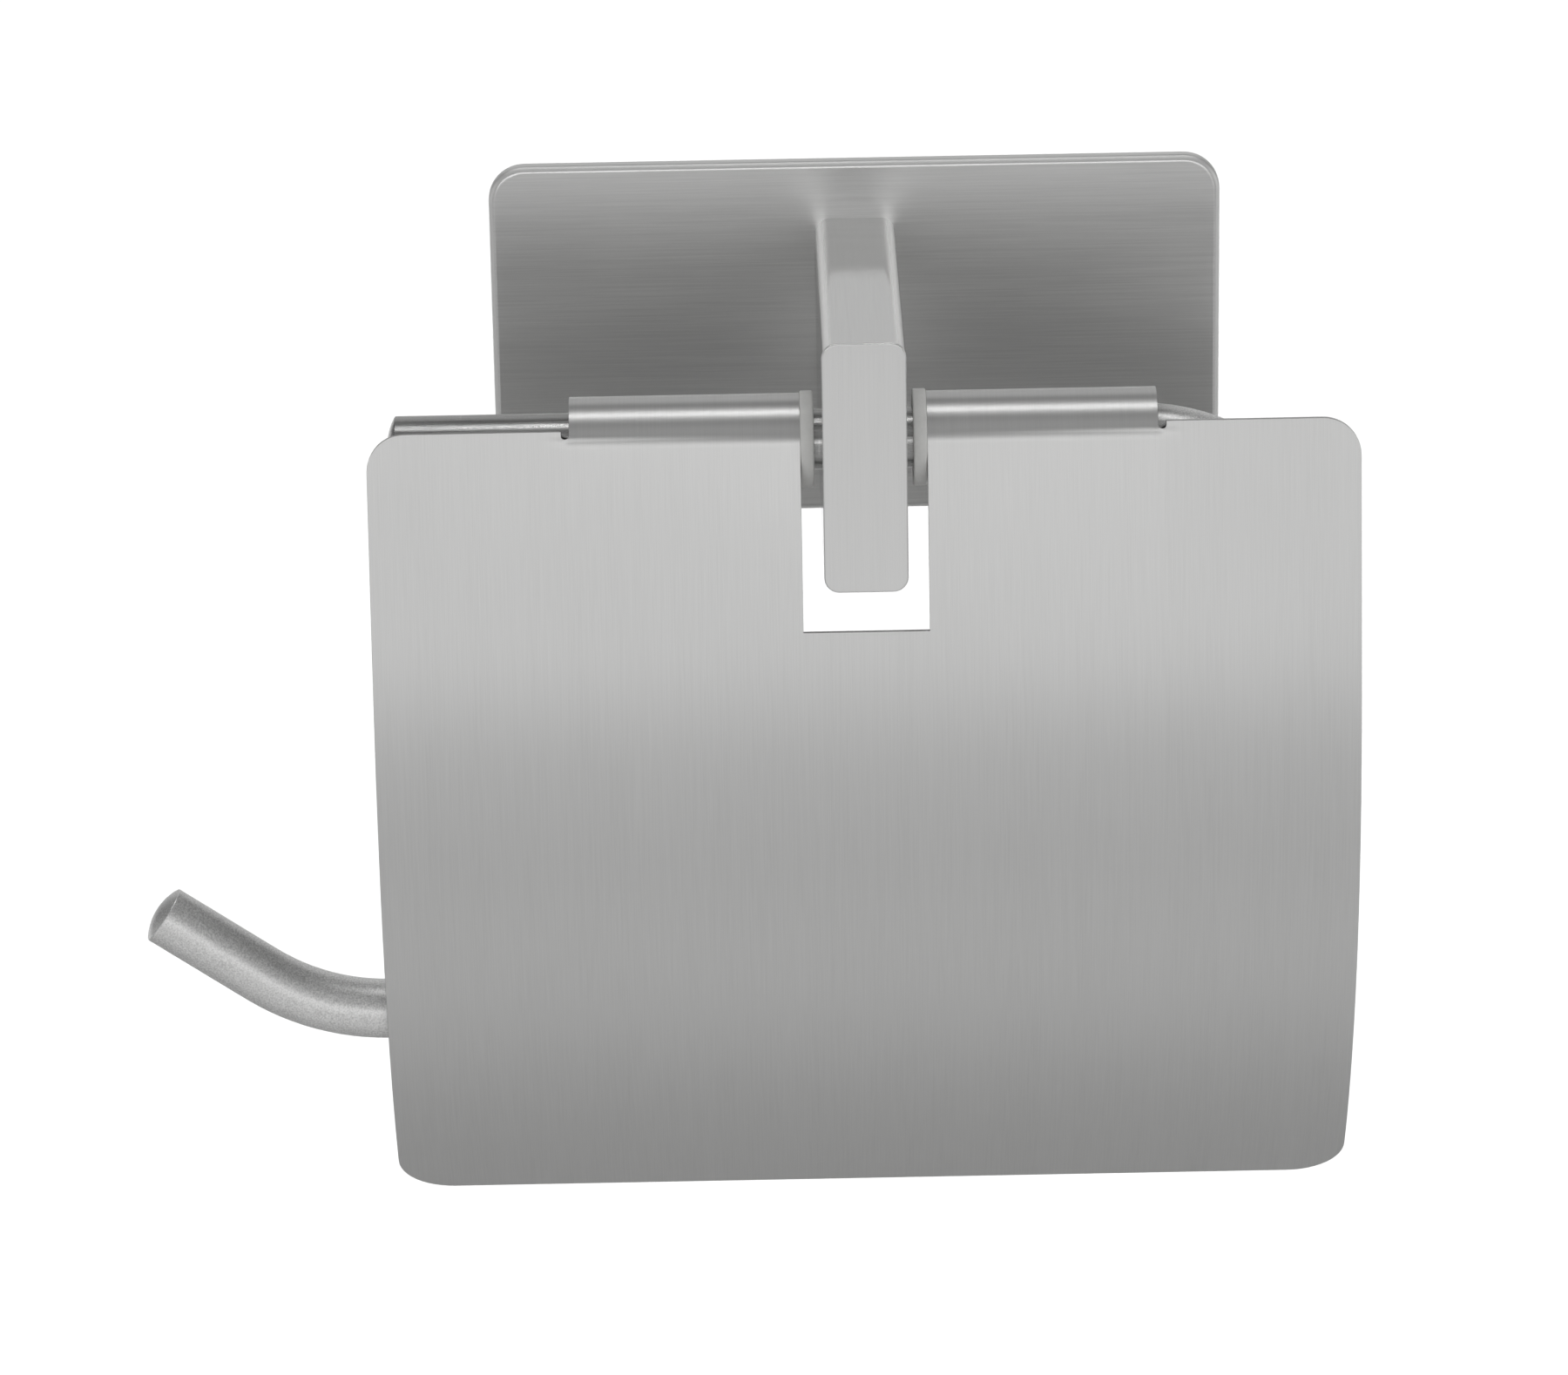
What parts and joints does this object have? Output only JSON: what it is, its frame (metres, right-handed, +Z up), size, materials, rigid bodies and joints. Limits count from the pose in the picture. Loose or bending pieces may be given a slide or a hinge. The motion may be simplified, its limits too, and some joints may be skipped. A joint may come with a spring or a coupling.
{
  "type": "toilet paper holder",
  "caption": "Wall-mounted toilet paper holder: back plate, square post, bent rod roll arm with upturned end and a curved sheet lid hinged on the rod.",
  "frame": {"origin": "centre of the adhesive pad's rear face, on the wall plane", "axes": "+Y into the wall, +Z up, +X to the right as seen from the room; the post stands out along -Y"},
  "size_m": [0.1621, 0.061, 0.1358],
  "materials": {
    "plate_steel": "brushed along the width",
    "post_steel": "brushed lengthwise",
    "rod_steel": "satin",
    "lid_steel": "brushed up and down",
    "screw_steel": "plain",
    "nylon": "natural, slightly translucent",
    "foam": "adhesive foam"
  },
  "bodies": {
    "bracket": {"adhesive_pad": "foam", "back_plate": "plate_steel", "post": "post_steel", "post_screws": "screw_steel", "roll_arm": "rod_steel", "grub_screw": "screw_steel"},
    "flap": {"lid": "lid_steel", "hinge_bush_left": "nylon", "hinge_bush_right": "nylon"}
  },
  "joints": [
    {"name": "lid_hinge", "type": "hinge", "parent": "bracket", "child": "flap", "pos_m": [0, -0.048, 0], "axis": [-1, 0, 0], "range_deg": [0, 186]}
  ]
}
